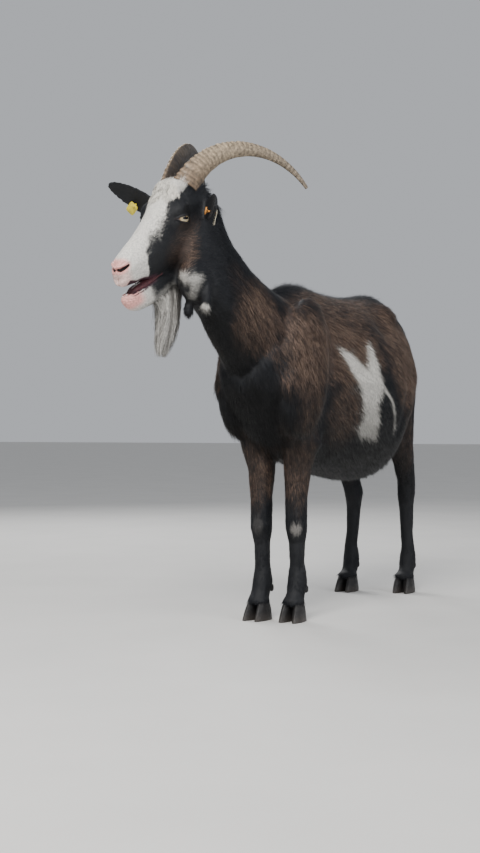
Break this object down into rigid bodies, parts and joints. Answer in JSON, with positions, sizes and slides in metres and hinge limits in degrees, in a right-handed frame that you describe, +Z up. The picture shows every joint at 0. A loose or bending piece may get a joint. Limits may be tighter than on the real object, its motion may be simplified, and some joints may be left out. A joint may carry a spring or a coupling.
{
  "type": "goat",
  "caption": "Still life-size model of a standing horned goat with a beard, throat wattles, plain ear tags and an open mouth, resting on its hooves.",
  "frame": {"origin": "on the floor under the middle of the goat's box", "axes": "+Z up, the goat faces -Y, its left side is +X"},
  "size_m": [0.4518, 1.2964, 1.1122],
  "materials": {
    "hide": "coat of hair, black with brown and white markings",
    "beard": "long straight hair",
    "horn": "ridged horn",
    "hoof": "worn hoof horn",
    "eye": "wet gloss",
    "tongue": "wet",
    "tag": "plain moulded plastic"
  },
  "bodies": {
    "root": {"trunk": "hide", "neck": "hide", "head": "hide", "lower_jaw": "hide", "tail": "hide", "foreleg_upper_left": "hide", "foreleg_lower_left": "hide", "foreleg_upper_right": "hide", "foreleg_lower_right": "hide", "hindleg_upper_left": "hide", "hindleg_lower_left": "hide", "hindleg_upper_right": "hide", "hindleg_lower_right": "hide", "ear_left": "hide", "ear_right": "hide", "wattle_left": "hide", "wattle_right": "hide", "beard": "beard", "horn_left": "horn", "horn_right": "horn", "eye_left": "eye", "eye_right": "eye", "tongue": "tongue", "ear_tag_left": "tag", "ear_tag_right": "tag", "hoof_fore_left_inner": "hoof", "hoof_fore_left_outer": "hoof", "hoof_fore_right_inner": "hoof", "hoof_fore_right_outer": "hoof", "hoof_hind_left_inner": "hoof", "hoof_hind_left_outer": "hoof", "hoof_hind_right_inner": "hoof", "hoof_hind_right_outer": "hoof", "dewclaw_fore_left_inner": "hoof", "dewclaw_fore_left_outer": "hoof", "dewclaw_fore_right_inner": "hoof", "dewclaw_fore_right_outer": "hoof", "dewclaw_hind_left_inner": "hoof", "dewclaw_hind_left_outer": "hoof", "dewclaw_hind_right_inner": "hoof", "dewclaw_hind_right_outer": "hoof"}
  },
  "joints": []
}
